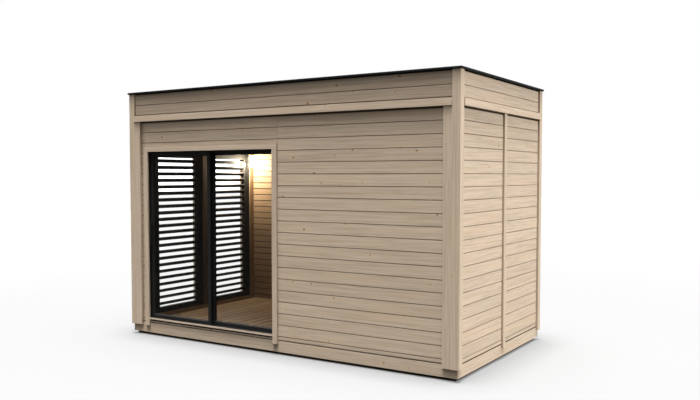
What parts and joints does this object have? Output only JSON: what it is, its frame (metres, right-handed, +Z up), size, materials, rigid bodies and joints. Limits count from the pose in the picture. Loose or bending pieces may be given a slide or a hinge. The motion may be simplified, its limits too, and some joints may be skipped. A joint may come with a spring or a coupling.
{
  "type": "outdoor sauna cabin",
  "caption": "Flat-roofed timber sauna cabin with horizontal board cladding, a black glazed sliding door, louvred side openings and a recessed base.",
  "frame": {"origin": "on the ground under the middle of the cabin", "axes": "+X to the right along the front, +Y from the front to the back, +Z up"},
  "size_m": [4.054, 2.154, 2.705],
  "materials": {
    "cladding": "greyed planed timber boards",
    "trim_timber": "greyed planed timber",
    "floor_timber": "oiled boards",
    "ceiling_timber": "planed lining boards",
    "base_timber": "black stained timber",
    "roof_skin": "matt black sheet",
    "door_metal": "matt black coated aluminium",
    "door_glass": "clear glazing",
    "louvre_metal": "matt black",
    "lamp_shade": "opal diffuser"
  },
  "bodies": {
    "cabin": {"back_wall": "cladding", "corner_cover_boards": "trim_timber", "corner_lamp": "lamp_shade", "corner_post_back_left": "trim_timber", "corner_post_back_right": "trim_timber", "corner_post_front_left": "trim_timber", "corner_post_front_right": "trim_timber", "cross_bearers": "base_timber", "door_casing_head": "trim_timber", "door_casing_left": "trim_timber", "door_casing_right": "trim_timber", "door_frame_head": "door_metal", "door_frame_jambs": "door_metal", "door_sill": "trim_timber", "door_threshold": "floor_timber", "door_track": "door_metal", "fascia_end_boards": "trim_timber", "fascia_long_boards": "trim_timber", "fascia_rails": "trim_timber", "fixed_leaf_frame": "door_metal", "fixed_leaf_glass": "door_glass", "floor": "floor_timber", "front_wall_left": "cladding", "front_wall_over_door": "cladding", "front_wall_right": "cladding", "left_wall_head": "cladding", "left_wall_piers": "cladding", "left_wall_sill": "cladding", "long_bearers": "base_timber", "louvre_casing": "trim_timber", "louvre_panel_back": "louvre_metal", "louvre_panel_front": "louvre_metal", "plinth_end_boards": "trim_timber", "plinth_long_boards": "trim_timber", "right_wall": "cladding", "roof_cover": "roof_skin", "roof_panel": "ceiling_timber", "wall_battens": "trim_timber"},
    "sliding_leaf": {"sliding_leaf_frame": "door_metal", "sliding_leaf_glass": "door_glass", "sliding_leaf_handle": "door_metal"}
  },
  "joints": [
    {"name": "door_slide", "type": "slide", "parent": "cabin", "child": "sliding_leaf", "axis": [1, 0, 0], "range_m": [0, 0.84]}
  ]
}
